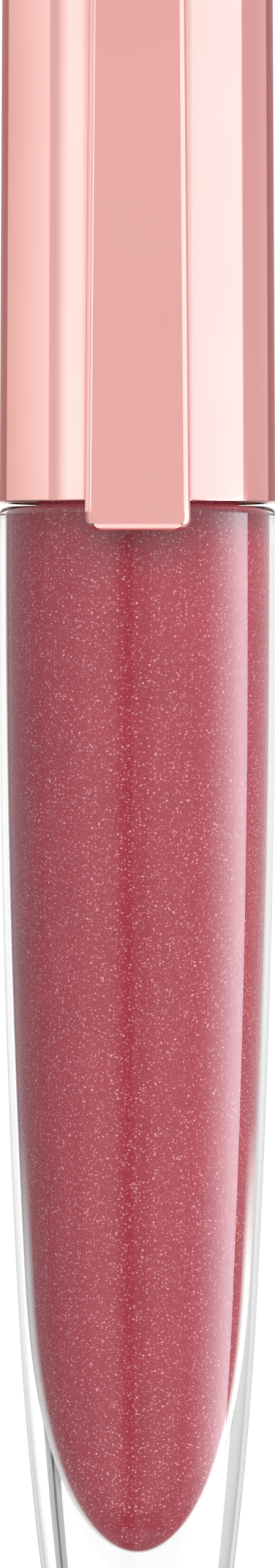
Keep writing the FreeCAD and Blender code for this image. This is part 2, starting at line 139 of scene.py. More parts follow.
def sheet_faces(shape: tuple[int, int]) -> list:
    """Four-sided faces of an open sheet of points.

    Args:
        shape: rows and columns of points.

    Returns:
        Lists of four point numbers.
    """
    index = np.arange(shape[0] * shape[1]).reshape(shape)
    faces = np.stack([index[:-1, :-1], index[:-1, 1:], index[1:, 1:], index[1:, :-1]], axis=-1)
    return faces.reshape(-1, 4).tolist()


def build_mesh(name: str, points: np.ndarray, faces: list, crease: float | None = None) -> bpy.types.Object:
    """Puts points and faces into a new smooth-shaded object at the origin.

    Args:
        name: piece name.
        points: array (n, 3) in mm.
        faces: lists of point numbers.
        crease: angle in degrees past which an edge stays sharp, or None.

    Returns:
        The new object.
    """
    mesh = bpy.data.meshes.new(name)
    mesh.from_pydata((points * MM).tolist(), [], faces)
    mesh.polygons.foreach_set("use_smooth", np.ones(len(mesh.polygons), bool))
    if crease is not None:
        mesh.set_sharp_from_angle(angle=math.radians(crease))
    mesh.validate()
    mesh.update()
    piece = bpy.data.objects.new(name, mesh)
    bpy.context.scene.collection.objects.link(piece)
    return piece


def turned(name: str, profile: np.ndarray, columns: int, ends: Ends, crease: float | None = None,
           swell: np.ndarray | None = None) -> bpy.types.Object:
    """Surface of revolution: (radius cos a, radius sin a, height) for each profile point and angle a.

    Args:
        name: piece name.
        profile: array (n, 2) of radius and height in mm, outside on the right as it is walked.
        columns: points round the axis.
        ends: how the profile closes.
        crease: sharp-edge angle in degrees, or None.
        swell: array (n, columns) added to the radius, or None.

    Returns:
        The new object.
    """
    closed = ends is Ends.RING
    ring = profile if closed else profile[1:-1]
    angle = np.linspace(0, TURN, columns, endpoint=False)
    radius = np.repeat(ring[:, :1], columns, axis=1)
    if swell is not None:
        radius = radius + (swell if closed else swell[1:-1])
    height = np.repeat(ring[:, 1:], columns, axis=1)
    points = np.stack([radius * np.cos(angle), radius * np.sin(angle), height], axis=-1).reshape(-1, 3)
    faces = grid_faces(len(ring), columns, closed).tolist()
    if not closed:
        first, last = len(points), len(points) + 1
        points = np.vstack([points, [[0, 0, profile[0, 1]], [0, 0, profile[-1, 1]]]])
        here = np.arange(columns)
        after = np.roll(here, -1)
        top = (len(ring) - 1) * columns
        faces += np.column_stack([np.full(columns, first), after, here]).tolist()
        faces += np.column_stack([np.full(columns, last), top + here, top + after]).tolist()
    return build_mesh(name, points, faces, crease)


def unit(rows: np.ndarray) -> np.ndarray:
    """Each row divided by its own length."""
    return rows / np.linalg.norm(rows, axis=1, keepdims=True)


def outwards(angle: np.ndarray) -> np.ndarray:
    """Level unit vectors (cosine, sine, 0) of the angles."""
    return np.column_stack([np.cos(angle), np.sin(angle), np.zeros(len(angle))])


def strewn(name: str, corners: list, pattern: list) -> bpy.types.Object:
    """Many copies of one small closed shape as one piece.

    Args:
        name: piece name.
        corners: one array (copies, 3) in mm for each corner of the shape.
        pattern: the shape's triangles, as corner numbers.

    Returns:
        The new object.
    """
    copy = len(corners) * np.arange(len(corners[0]))[:, None, None]
    faces = (np.array(pattern)[None] + copy).reshape(-1, 3).tolist()
    return build_mesh(name, np.stack(corners, axis=1).reshape(-1, 3), faces)


# ---------------------------------------------------------------- finishes


class Board:
    """A material's or world's node board."""

    def __init__(self, tree: bpy.types.NodeTree) -> None:
        """Empties the tree and keeps it.

        Args:
            tree: the node tree to fill.
        """
        tree.nodes.clear()
        self.tree = tree

    def add(self, kind: str, values: dict | None = None, **settings: object) -> bpy.types.Node:
        """Adds one node.

        Args:
            kind: the node's type name.
            values: socket name or number to the value or the output socket that goes in.
            settings: node properties.

        Returns:
            The new node.
        """
        node = self.tree.nodes.new(kind)
        for key, value in settings.items():
            setattr(node, key, value)
        for key, value in (values or {}).items():
            if isinstance(value, bpy.types.NodeSocket):
                self.tree.links.new(value, node.inputs[key])
            else:
                node.inputs[key].default_value = value
        return node

    def place(self) -> bpy.types.NodeSocket:
        """The object coordinates."""
        return self.add("ShaderNodeTexCoord").outputs["Object"]

    def noise(self, scale: float, detail: float = 2.0) -> bpy.types.NodeSocket:
        """Soft noise on object coordinates; scale is in waves per metre."""
        values = {"Vector": self.place(), "Scale": scale, "Detail": detail}
        return self.add("ShaderNodeTexNoise", values).outputs["Fac"]

    def spread(self, factor: bpy.types.NodeSocket, source: Pair,
               target: Pair = (0.0, 1.0)) -> bpy.types.NodeSocket:
        """Maps one range of a number to another.

        Args:
            factor: the number.
            source: the lowest and highest value that come in.
            target: the values that they become.

        Returns:
            The mapped number.
        """
        values = {"Value": factor, "From Min": source[0], "From Max": source[1],
                  "To Min": target[0], "To Max": target[1]}
        return self.add("ShaderNodeMapRange", values).outputs["Result"]

    def maths(self, operation: str, first: object, second: object) -> bpy.types.NodeSocket:
        """One sum of two numbers."""
        return self.add("ShaderNodeMath", {0: first, 1: second}, operation=operation).outputs[0]

    def blend(self, factor: object, first: object, second: object) -> bpy.types.NodeSocket:
        """Colour between two colours, by a factor."""
        values = {"Factor": factor, 6: first, 7: second}
        return self.add("ShaderNodeMix", values, data_type="RGBA").outputs[2]

    def bump(self, height: bpy.types.NodeSocket, depth: float) -> bpy.types.NodeSocket:
        """Bump normal from a height of 0 to 1; depth is in metres."""
        values = {"Height": height, "Distance": depth, "Strength": 1.0}
        return self.add("ShaderNodeBump", values).outputs["Normal"]

    def coat(self, values: dict) -> None:
        """Adds the principled shader with these values and wires it to the material's output."""
        self.finish(self.add("ShaderNodeBsdfPrincipled", values).outputs[0])

    def finish(self, shader: bpy.types.NodeSocket) -> None:
        """Wires the shader to the material's output."""
        self.add("ShaderNodeOutputMaterial", {"Surface": shader})


def opaque(colour: Colour) -> tuple[float, float, float, float]:
    """The colour with an alpha of 1."""
    return (*colour, 1.0)


def new_material(name: str) -> tuple[bpy.types.Material, Board]:
    """A new material and its empty board.

    Args:
        name: material name.

    Returns:
        The material and the board.
    """
    material = bpy.data.materials.new(name)
    material.use_nodes = True
    return material, Board(material.node_tree)


@dataclass(frozen=True)
class ClearPlastic:
    """Thick clear moulded plastic with faint flow waves, which lets the lamps reach what is inside."""

    ior: float = 1.5
    wave_scale: float = 90.0
    wave_detail: float = 1.0
    wave_depth: float = 2e-6

    def make(self) -> bpy.types.Material:
        """Makes the material.

        Returns:
            The new material.
        """
        material, board = new_material("clear_plastic_wall")
        waves = board.bump(board.noise(self.wave_scale, self.wave_detail), self.wave_depth)
        glass = board.add("ShaderNodeBsdfPrincipled", {
            "Base Color": opaque((1.0, 1.0, 1.0)), "Roughness": 0.0, "IOR": self.ior,
            "Transmission Weight": 1.0, "Normal": waves})
        path = board.add("ShaderNodeLightPath")
        open_to = board.maths("MAXIMUM", path.outputs["Is Shadow Ray"], path.outputs["Is Diffuse Ray"])
        clear = board.add("ShaderNodeBsdfTransparent")
        mix = board.add("ShaderNodeMixShader", {0: open_to, 1: glass.outputs[0], 2: clear.outputs[0]})
        board.finish(mix.outputs[0])
        return material


@dataclass(frozen=True)
class ShimmerGloss:
    """Mauve pink gloss, wet against the wall, full of fine pale flakes of several sizes."""

    colour: Colour = (0.368, 0.025, 0.051)
    deep: Colour = (0.338, 0.021, 0.045)
    flake: Colour = (0.83, 0.385, 0.43)
    # rim colour and the two ranges after it make a near-white painted sheen on the gloss's lower round end.
    # It is blended in where the surface turns edge-on to the viewer, and stands in for the bright reflection
    # there.
    rim: Colour = (0.93, 0.90, 0.88)
    painted_sheen_facing: Pair = (0.60, 0.72)
    painted_sheen_heights: Pair = (0.024, 0.034)
    wetness: float = 0.16
    ior: float = 1.45
    shine: float = 0.2
    cloud_scale: float = 180.0
    swirl_scale: float = 9000.0
    wobble: float = 0.00006
    spot_core: float = 0.55
    cells: Tints = ((0.00014, 0.36, 0.25, 0.5), (0.00021, 0.32, 0.15, 0.8), (0.00036, 0.22, 0.0, 1.0))

    def flakes(self, board: Board, place: bpy.types.NodeSocket, cell: float, reach: float,
               least: float) -> bpy.types.NodeSocket:
        """Brightness of one size of flake.

        A point of the surface is bright where it is nearer than reach to its cell's seed, and each cell
        has a random brightness of which only what is above least shows.

        Args:
            board: the material's board.
            place: coordinates in metres.
            cell: cell size in metres.
            reach: flake radius as a share of the cell.
            least: share of the cells that stay dark.

        Returns:
            A number from 0 to 1.
        """
        cells = board.add("ShaderNodeTexVoronoi", {"Vector": place, "Scale": 1.0 / cell})
        round_spot = board.spread(cells.outputs["Distance"], (reach * self.spot_core, reach), (1.0, 0.0))
        chance = board.add("ShaderNodeSeparateColor", {0: cells.outputs["Color"]}).outputs[0]
        strength = board.spread(chance, (least, 1.0))
        return board.maths("MULTIPLY", round_spot, strength)

    def make(self) -> bpy.types.Material:
        """Makes the material.

        Returns:
            The new material.
        """
        material, board = new_material("shimmer_gloss")
        clouds = board.spread(board.noise(self.cloud_scale), NOISE_CORE)
        body = board.blend(clouds, opaque(self.deep), opaque(self.colour))
        swirl = board.add("ShaderNodeTexNoise", {
            "Vector": board.place(), "Scale": self.swirl_scale, "Detail": 0.0})
        shift = board.add("ShaderNodeVectorMath", {0: swirl.outputs["Color"], "Scale": self.wobble},
                          operation="SCALE").outputs[0]
        place = board.add("ShaderNodeVectorMath", {0: board.place(), 1: shift}, operation="ADD").outputs[0]
        share = 0.0
        for cell, reach, least, most in self.cells:
            layer = board.maths("MULTIPLY", self.flakes(board, place, cell, reach, least), most)
            share = board.maths("MAXIMUM", share, layer)
        colour = board.blend(share, body, opaque(self.flake))
        # Painted sheen: near the lower round end, and where Layer Weight facing shows the surface turning
        # edge-on to the viewer, the colour is blended towards the near-white rim colour.
        height = board.add("ShaderNodeSeparateXYZ", {0: board.place()}).outputs["Z"]
        low = board.spread(height, self.painted_sheen_heights, (1.0, 0.0))
        painted_sheen_mask = board.spread(board.add("ShaderNodeLayerWeight").outputs["Facing"], self.painted_sheen_facing)
        colour = board.blend(board.maths("MULTIPLY", low, painted_sheen_mask), colour, opaque(self.rim))
        board.coat({
            "Base Color": colour, "Roughness": self.wetness, "IOR": self.ior,
            "Specular IOR Level": self.shine})
        return material


@dataclass(frozen=True)
class FlakeMica:
    """Pale pearly mica of the larger flakes."""

    colour: Colour = (0.95, 0.72, 0.74)
    deep: Colour = (0.72, 0.34, 0.4)
    tone_scale: float = 4000.0
    roughness: float = 0.35
    metallic: float = 0.35

    def make(self) -> bpy.types.Material:
        """Makes the material.

        Returns:
            The new material.
        """
        material, board = new_material("shimmer_flake")
        tone = board.spread(board.noise(self.tone_scale, 0.0), NOISE_SPAN)
        colour = board.blend(tone, opaque(self.deep), opaque(self.colour))
        board.coat({
            "Base Color": colour, "Roughness": self.roughness, "Metallic": self.metallic})
        return material


@dataclass(frozen=True)
class RoseMetal:
    """Polished rose-gold anodised metal with a very fine drawn grain."""

    name: str = "rose_metal"
    colour: Colour = (0.82, 0.42, 0.39)
    shade: Colour = (0.80, 0.395, 0.365)
    smooth: float = 0.055
    rough: float = 0.09
    tone_scale: float = 70.0
    grain_scale: float = 6000.0
    grain_detail: float = 3.0
    grain_depth: float = 4e-7

    def make(self) -> bpy.types.Material:
        """Makes the material.

        Returns:
            The new material.
        """
        material, board = new_material(self.name)
        tone = board.spread(board.noise(self.tone_scale), NOISE_CORE)
        colour = board.blend(tone, opaque(self.shade), opaque(self.colour))
        fine = board.noise(self.grain_scale, self.grain_detail)
        roughness = board.spread(fine, NOISE_SPAN, (self.smooth, self.rough))
        board.coat({
            "Base Color": colour, "Metallic": 1.0, "Roughness": roughness,
            "Normal": board.bump(fine, self.grain_depth)})
        return material


@dataclass(frozen=True)
class Moulded:
    """Plain moulded plastic or rubber: a slight mottle, a soft sheen and a fine skin."""

    name: str
    colour: Colour
    smooth: float = 0.3
    rough: float = 0.45
    mottle: float = 0.9
    skin_scale: float = 3500.0
    skin_depth: float = 2e-6
    scatter: float = 0.0
    scatter_depth: float = 0.001
    mottle_scale: float = 260.0
    skin_detail: float = 3.0

    def make(self) -> bpy.types.Material:
        """Makes the material.

        Returns:
            The new material.
        """
        material, board = new_material(self.name)
        tone = board.spread(board.noise(self.mottle_scale), NOISE_CORE)
        darker = tuple(part * self.mottle for part in self.colour)
        colour = board.blend(tone, opaque(darker), opaque(self.colour))
        fine = board.noise(self.skin_scale, self.skin_detail)
        board.coat({
            "Base Color": colour,
            "Roughness": board.spread(fine, NOISE_SPAN, (self.smooth, self.rough)),
            "Subsurface Weight": self.scatter, "Subsurface Scale": self.scatter_depth,
            "Normal": board.bump(fine, self.skin_depth)})
        return material


@dataclass(frozen=True)
class StainedFlock:
    """Short nylon flock, white at heart and stained by the gloss it has been lying in."""

    clean: Colour = (0.74, 0.38, 0.42)
    stain: Colour = (0.60, 0.20, 0.25)
    patch_scale: float = 2200.0
    patch_detail: float = 3.0
    pile_scale: float = 14000.0
    pile_depth: float = 2e-5
    roughness: float = 0.85
    sheen: float = 0.4

    def make(self) -> bpy.types.Material:
        """Makes the material.

        Returns:
            The new material.
        """
        material, board = new_material("stained_flock")
        patches = board.spread(board.noise(self.patch_scale, self.patch_detail), NOISE_SPAN)
        colour = board.blend(patches, opaque(self.stain), opaque(self.clean))
        pile = board.bump(board.noise(self.pile_scale), self.pile_depth)
        board.coat({
            "Base Color": colour, "Roughness": self.roughness, "Sheen Weight": self.sheen, "Normal": pile})
        return material


# ---------------------------------------------------------------- helpers for pieces


def dress(piece: bpy.types.Object, material: bpy.types.Material, body: str, slot: str, *nodes: str) -> None:
    """Gives a new piece its material and its body, hides the nodes that it stands for, and logs it.

    Args:
        piece: the new piece.
        material: its finish.
        body: the body that it rides on.
        slot: the record's material slot; not used.
        nodes: the nodes that it replaces.
    """
    piece.data.materials.clear()
    piece.data.materials.append(material)
    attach(piece, body)
    if nodes:
        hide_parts(*nodes)
    LOG.info("%s: %d faces on %s", piece.name, len(piece.data.polygons), body)


def repaint(node: str, material: bpy.types.Material) -> None:
    """Gives a carried-over node a better material.

    Args:
        node: the node's name.
        material: its finish.
    """
    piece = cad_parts[node]
    for place in piece.material_slots:
        place.material = material
    LOG.info("%s: kept from the frame, new finish", node)


# ---------------------------------------------------------------- bottle


@dataclass
class Bottle:
    """Clear bottle with its gloss, the shimmer in it and the wiper in its neck. Sizes in mm."""

    belly_radius: float = 9.02
    belly_from: float = 66.0
    slow_arc: float = 813.2
    waist_height: float = 21.0
    quick_arc: float = 250.0
    heel_round: float = 0.8
    shoulder: float = 74.0
    shoulder_round: float = 0.45
    neck_radius: float = 6.6
    neck_top: float = 85.0
    rim_round: float = 0.2
    bore: float = 5.67
    chamber_from: float = 71.2
    chamber_low_radius: float = 4.84
    chamber_low: float = 24.0
    chamber_end: float = 17.95
    thread_start: float = 76.2
    thread_lead: float = 5.0
    thread_turns: float = 1.25
    thread_height: float = 0.8
    root_half: float = 0.55
    crest_half: float = 0.25
    gloss_overlap: float = 0.08
    gloss_level: float = 74.5
    meniscus: float = 0.25
    channel_radius: float = 2.35
    channel_floor: float = 13.75
    fade: float = 0.35
    foot_round: float = 0.15
    floor_round: float = 1.0
    meniscus_reach: float = 0.45
    meniscus_drop: float = 0.05
    supports: tuple[float, ...] = (0.5, 0.2, 0.08, 0.02, 0.0)
    columns: int = 256
    gloss_columns: int = 160
    wiper_columns: int = 96
    neck_rows: int = 96
    gloss_rows: int = 60
    chamber_rows: int = 44
    side_rows: int = 40
    round_rows: int = 40
    low_rows: int = 24
    wiper_outline: Outline = (
        Arc((6.4, 85.1), 0.1, -90, 0, 4), Arc((6.3, 85.6), 0.2, 0, 90, 6),
        Arc((5.15, 85.5), 0.3, 90, 180, 7), Line((4.85, 85.1), (4.85, 80.2), 10),
        Line((4.75, 79.7), (2.45, 76.75), 8), Arc((2.4, 76.3), 0.15, 90, 180, 4),
        Arc((2.45, 76.2), 0.2, 180, 270, 5), Line((2.7, 76.05), (5.3, 78.9), 8),
        Arc((5.45, 79.2), 0.2, -60, 0, 4), Line((5.65, 79.5), (5.65, 84.8), 10))
    flake_seed: int = 41
    flake_count: int = 14000
    flake_from: float = 15.5
    flake_below: float = 0.3
    flake_lift: float = 0.004
    flake_size: Pair = (0.014, 0.034)
    flake_tilt: float = 0.22
    flake_width: float = 0.8
    flake_thickness: float = 0.12

    def wall(self, height: np.ndarray) -> np.ndarray:
        """Outer radius at a height: upright belly, then a slow arc, then a quicker arc tangent to it.

        Args:
            height: heights in mm.

        Returns:
            Radii in mm.
        """
        slow = self.belly_radius - (self.slow_arc - np.sqrt(
            self.slow_arc ** 2 - np.clip(self.belly_from - height, 0, None) ** 2))
        lean = math.asin((self.belly_from - self.waist_height) / self.slow_arc)
        waist = self.belly_radius - self.slow_arc * (1 - math.cos(lean))
        sine = math.sin(lean) + np.clip(self.waist_height - height, 0, None) / self.quick_arc
        quick = waist - self.quick_arc * (math.cos(lean) - np.sqrt(1 - sine ** 2))
        return np.where(height >= self.waist_height, slow, quick)

    def chamber(self, height: np.ndarray) -> np.ndarray:
        """Chamber radius at a height: straight bore, then one long arc inwards.

        Args:
            height: heights in mm, not below chamber_low.

        Returns:
            Radii in mm.
        """
        drop = self.chamber_from - self.chamber_low
        narrow = self.bore - self.chamber_low_radius
        arc = (drop ** 2 + narrow ** 2) / (2 * narrow)
        return self.bore - (arc - np.sqrt(arc ** 2 - np.clip(self.chamber_from - height, 0, None) ** 2))

    def chamber_round(self, grow: float) -> np.ndarray:
        """Profile of the chamber's round end, from its floor on the axis up to its widest.

        The radius is a half ellipse less a small term that carries on the slope of the wall above.

        Args:
            grow: distance by which the profile is widened, mm.

        Returns:
            Array (n, 2) of radius and height, lowest first.
        """
        drop = self.chamber_from - self.chamber_low
        narrow = self.bore - self.chamber_low_radius
        slope = drop / ((drop ** 2 + narrow ** 2) / (2 * narrow))
        angle = np.radians(np.linspace(90, 0, self.round_rows))
        share = np.sin(angle)
        ease = slope * self.chamber_end * share * (1 - share) ** 2
        radius = (self.chamber_low_radius + grow - ease) * np.cos(angle)
        height = self.chamber_low - (self.chamber_end + grow) * share
        radius[0] = 0.0
        return np.column_stack([radius, height])

    def thread_swell(self, profile: np.ndarray, outer: np.ndarray) -> np.ndarray:
        """Two-start thread as extra radius over the neck's outside.

        The ridge is a trapezoid of the distance in height from the helix, which climbs by the lead in a
        turn, and it fades in and out at its two ends.

        Args:
            profile: array (n, 2) of radius and height.
            outer: which rows lie on the neck's outside.

        Returns:
            Array (n, columns) of extra radius.
        """
        angle = np.linspace(0, TURN, self.columns, endpoint=False)
        height = profile[:, 1][:, None]
        length = self.thread_turns * TURN
        extra = np.zeros((len(profile), self.columns))
        for start in (0.0, math.pi):
            for lap in (0.0, TURN):
                run = (angle - start) % TURN + lap
                centre = self.thread_start + self.thread_lead * run / TURN
                side = (self.root_half - np.abs(height - centre)) / (self.root_half - self.crest_half)
                ends = np.clip(run / self.fade, 0, 1) * np.clip((length - run) / self.fade, 0, 1)
                extra = np.maximum(extra, np.clip(side, 0, 1) * ends * self.thread_height)
        return extra * outer[:, None]

    def build_wall(self) -> bpy.types.Object:
        """Builds the clear bottle as one closed turned surface.

        The profile runs from the base's middle up the outside, over the rim and down the chamber.

        Returns:
            The bottle's object.
        """
        lean = math.asin((self.belly_from - self.waist_height) / self.slow_arc
                         + self.waist_height / self.quick_arc)
        heel_top = self.heel_round * (1 - math.sin(lean))
        heel_centre = float(self.wall(np.array([heel_top]))[0]) - self.heel_round * math.cos(lean)
        low = np.linspace(heel_top, self.waist_height, self.low_rows)
        turn, foot, rim = self.shoulder_round, self.foot_round, self.rim_round
        brow = self.shoulder - turn
        high = np.linspace(self.waist_height, brow - self.supports[0], self.side_rows)
        side = np.concatenate([low, high[1:], brow - np.array(self.supports[1:])])
        lip = self.neck_top - rim
        down = np.linspace(lip, self.chamber_low, self.chamber_rows)
        profile = joined(
            Line((0.0, 0.0), (heel_centre, 0.0), 6),
            Arc((heel_centre, self.heel_round), self.heel_round, -90, -math.degrees(lean), 12),
            np.column_stack([self.wall(side), side]),
            Arc((self.belly_radius - turn, brow), turn, 0, 90, 9),
            Arc((self.neck_radius + foot, self.shoulder + foot), foot, 270, 180, 5),
            Line((self.neck_radius, self.shoulder + 2 * foot), (self.neck_radius, lip), self.neck_rows),
            Arc((self.neck_radius - rim, lip), rim, 0, 90, 5), Arc((self.bore + rim, lip), rim, 90, 180, 5),
            np.column_stack([self.chamber(down), down]), self.chamber_round(0.0)[::-1])
        outer = (np.abs(profile[:, 0] - self.neck_radius) < REPEAT) & (profile[:, 1] > self.shoulder + foot)
        return turned("bottle_wall", profile, self.columns, Ends.POLES, crease=50,
                      swell=self.thread_swell(profile, outer))

    def build_gloss(self) -> bpy.types.Object:
        """Builds the gloss as one turned body that wets the wall, with the wand's channel down its middle.

        Returns:
            The gloss's object.
        """
        grow, reach, level = self.gloss_overlap, self.meniscus_reach, self.gloss_level
        up = np.linspace(self.chamber_low, level, self.gloss_rows)
        edge, hole, turn = self.bore + grow, self.channel_radius, self.floor_round
        across = np.linspace(edge, hole, 14)
        climb = np.exp(-(edge - across) / reach) + np.exp(-(across - hole) / reach)
        top = np.column_stack([across, level - self.meniscus_drop + self.meniscus * climb])
        profile = joined(
            self.chamber_round(grow), np.column_stack([self.chamber(up) + grow, up]), top,
            Line((hole, level), (hole, self.channel_floor + turn), 30),
            Arc((hole - turn, self.channel_floor + turn), turn, 0, -90, 8),
            Line((hole - turn, self.channel_floor), (0.0, self.channel_floor), 3))
        return turned("gloss_body", profile, self.gloss_columns, Ends.POLES, crease=60)

    def build_shimmer(self) -> bpy.types.Object:
        """Builds the larger flakes: flat closed four-cornered plates, strewn over the gloss's skin.

        Each flake is a squashed double pyramid with its own size, heading and tilt, all seeded.

        Returns:
            The flakes' object.
        """
        draw = np.random.default_rng(self.flake_seed)
        count = self.flake_count
        height = draw.uniform(self.chamber_low - self.flake_from, self.gloss_level - self.flake_below, count)
        angle = draw.uniform(0, TURN, count)
        end = self.chamber_round(0.0)
        rounded = np.interp(height, end[:, 1], end[:, 0])
        radius = np.where(height > self.chamber_low, self.chamber(height), rounded)
        radius = radius + self.gloss_overlap + self.flake_lift
        size = self.flake_size[0] + self.flake_size[1] * draw.random(count) ** 2
        heading = draw.uniform(0, TURN, count)
        tilt = draw.normal(0, self.flake_tilt, (count, 2))
        outward, across, upward = outwards(angle), outwards(angle + TURN / 4), np.array([[0.0, 0.0, 1.0]])
        normal = unit(outward + across * tilt[:, :1] + upward * tilt[:, 1:])
        first = across * np.cos(heading)[:, None] + upward * np.sin(heading)[:, None]
        first = unit(first - normal * np.sum(first * normal, axis=1, keepdims=True))
        second = np.cross(normal, first)
        centre = outward * radius[:, None] + upward * height[:, None]
        reach = size[:, None]
        broad, thick = reach * self.flake_width, reach * self.flake_thickness
        corners = [centre + first * reach, centre + second * broad, centre - first * reach,
                   centre - second * broad, centre + normal * thick, centre - normal * thick]
        piece = strewn("gloss_shimmer", corners, [
            [0, 1, 4], [1, 2, 4], [2, 3, 4], [3, 0, 4], [1, 0, 5], [2, 1, 5], [3, 2, 5], [0, 3, 5]])
        piece.data.polygons.foreach_set("use_smooth", np.zeros(len(piece.data.polygons), bool))
        return piece

    def build_wiper(self) -> bpy.types.Object:
        """Builds the soft wiper: flanged sleeve with a funnel down to a thin round lip.

        Returns:
            The wiper's object.
        """
        return turned("wiper_sleeve", joined(*self.wiper_outline), self.wiper_columns, Ends.RING, crease=45)

    def make(self) -> None:
        """Builds and dresses every piece of the bottle."""
        dress(self.build_wall(), ClearPlastic().make(), "bottle", "clear_plastic", "bottle")
        dress(self.build_gloss(), ShimmerGloss().make(), "bottle", "gloss", "gloss_fill")
        dress(self.build_shimmer(), FlakeMica().make(), "bottle", "gloss")
        soft = Moulded("soft_wiper", (0.86, 0.84, 0.82), 0.4, 0.55, scatter=0.2)
        dress(self.build_wiper(), soft.make(), "bottle", "wiper_plastic", "wiper")


# ---------------------------------------------------------------- seal


@dataclass
class CapSeal:
    """Thin foam liner that seals the cap against the wiper's flange. Sizes in mm."""

    inner: float = 3.05
    outer: float = 6.3
    low: float = 85.8
    high: float = 86.6
    edge: float = 0.15
    columns: int = 96

    def make(self) -> None:
        """Builds and dresses the liner: a flat ring with rounded edges."""
        edge = self.edge
        profile = joined(
            Arc((self.outer - edge, self.low + edge), edge, -90, 0, 5),
            Arc((self.outer - edge, self.high - edge), edge, 0, 90, 5),
            Arc((self.inner + edge, self.high - edge), edge, 90, 180, 5),
            Arc((self.inner + edge, self.low + edge), edge, 180, 270, 5))
        liner = turned("seal_liner", profile, self.columns, Ends.RING, crease=60)
        foam = Moulded("liner_foam", (0.88, 0.86, 0.83), 0.7, 0.9, 0.86, 5200.0, 1.2e-5)
        dress(liner, foam.make(), "cap_seal", "liner", "seal_ring")


# ---------------------------------------------------------------- cap


@dataclass
class Cap:
    """Rose metal shell with its clip, the inner cap, and the wand with its flocked tip. Sizes in mm."""

    shell_low: float = 74.25
    shell_top: float = 121.7
    low_radius: float = 9.03
    top_radius: float = 8.79
    shell_wall: float = 0.5
    top_round: float = 0.7
    low_round: float = 0.12
    clip_front: float = 9.9
    clip_end: float = 72.29
    clip_top: float = 122.3
    clip_half: float = 3.53
    clip_top_half: float = 3.1
    clip_corner: float = 0.85
    clip_round: float = 0.5
    clip_lean: float = 0.1
    clip_bevel: float = 0.58
    clip_gap: float = 0.12
    tongue_end: float = 1.2
    clip_flatness: float = 1.4
    inner_sharper: float = 0.25
    shell_supports: tuple[float, ...] = (0.0, 0.02, 0.08, 0.3)
    brow_supports: tuple[float, ...] = (0.1, 0.02, 0.0)
    shell_clear: Pair = (0.8, 0.3)
    clip_supports: tuple[float, ...] = (0.02, 0.06, 0.15, 0.35)
    clip_clear: Pair = (0.8, 0.2)
    tongue_gap: Pair = (0.02, 0.14)
    across_face: tuple[float, ...] = (
        -0.995, -0.98, -0.92, -0.7, -0.35, 0.0, 0.35, 0.7, 0.92, 0.98, 0.995)
    quarter: float = 89.9
    shell_columns: int = 224
    shell_rows: int = 48
    clip_rows_up: int = 56
    back_columns: int = 25
    wand_columns: int = 72
    wand_outline: Outline = (
        Line((0.0, 31.82), (0.9, 31.82), 3), Arc((0.92, 31.72), 0.1, 90, 0, 4),
        Line((1.02, 31.6), (1.02, 28.1), 8), Arc((1.2, 28.1), 0.1, 180, 270, 4),
        Arc((1.45, 28.1), 0.1, -90, 0, 4), Line((1.55, 28.3), (1.55, 64.9), 24),
        Line((1.55, 64.9), (2.1, 72.9), 12), Line((2.1, 72.9), (2.1, 84.7), 12),
        Arc((2.3, 84.7), 0.2, 180, 90, 4), Arc((2.85, 85.05), 0.15, -90, 0, 5),
        Arc((2.85, 86.45), 0.15, 0, 90, 5), Line((2.2, 86.6), (2.2, 96.1), 14),
        Arc((1.9, 96.1), 0.3, 0, 90, 6), Line((1.9, 96.4), (0.0, 96.4), 3))
    tip_shape: Rows = (
        (14.0, 0.6), (14.15, 0.95), (14.6, 1.35), (15.4, 1.72), (16.4, 1.98), (17.5, 2.1), (25.0, 2.1),
        (26.5, 1.9), (28.0, 1.55))
    tip_nose: Outline = (Line((0.0, 14.0), (0.5, 14.0), 3),)
    tip_peg: Outline = (
        Line((1.4, 28.0), (1.0, 28.0), 2), Line((1.0, 28.1), (1.0, 31.8), 5),
        Line((0.9, 31.8), (0.0, 31.8), 2))
    tip_span: Pair = (14.0, 27.95)
    tip_rows: int = 56
    flock_bed: float = 0.06
    slant_start: float = -0.1
    slant_rate: float = 2.0 / 8.5
    fibre_seed: int = 17
    fibre_count: int = 3200
    fibre_span: Pair = (14.1, 27.8)
    fibre_root: float = 0.09
    fibre_lean: float = 0.35
    fibre_length: Pair = (0.09, 0.19)
    fibre_half: float = 0.016
    slant_facing: Colour = (0.0, -1.0, -0.24)
    oblique: Colour = (0.3, 0.2, 0.93)

    def outside(self, height: np.ndarray) -> np.ndarray:
        """Shell's outer radius at a height: straight taper from its lower edge to its top."""
        share = (height - self.shell_low) / (self.shell_top - self.shell_low)
        return self.low_radius + (self.top_radius - self.low_radius) * share

    def build_shell(self) -> bpy.types.Object:
        """Builds the drawn shell: closed top with a rounded edge, even wall, softened lower edge.

        Returns:
            The shell's object.
        """
        turn, lip, wall = self.top_round, self.low_round, self.shell_wall
        inner_turn = turn - self.inner_sharper
        low_in, top_in, ceiling = self.low_radius - wall, self.top_radius - wall, self.shell_top - wall
        foot, brow = self.shell_low + lip, self.shell_top - turn
        side = np.linspace(foot + self.shell_clear[0], brow - self.shell_clear[1], self.shell_rows)
        up = np.concatenate([foot + np.array(self.shell_supports), side, brow - np.array(self.brow_supports)])
        down = np.linspace(ceiling - inner_turn, foot, 30)
        profile = joined(
            Line((0.0, ceiling), (top_in - inner_turn, ceiling), 5),
            Arc((top_in - inner_turn, ceiling - inner_turn), inner_turn, 90, 0, 7),
            np.column_stack([self.outside(down) - wall, down]),
            Arc((low_in + lip, foot), lip, 180, 270, 5), Arc((self.low_radius - lip, foot), lip, -90, 0, 5),
            np.column_stack([self.outside(up), up]), Arc((self.top_radius - turn, brow), turn, 0, 90, 12),
            Line((self.top_radius - turn, self.shell_top), (0.0, self.shell_top), 5))
        return turned("cap_shell_skin", profile, self.shell_columns, Ends.POLES, crease=50)

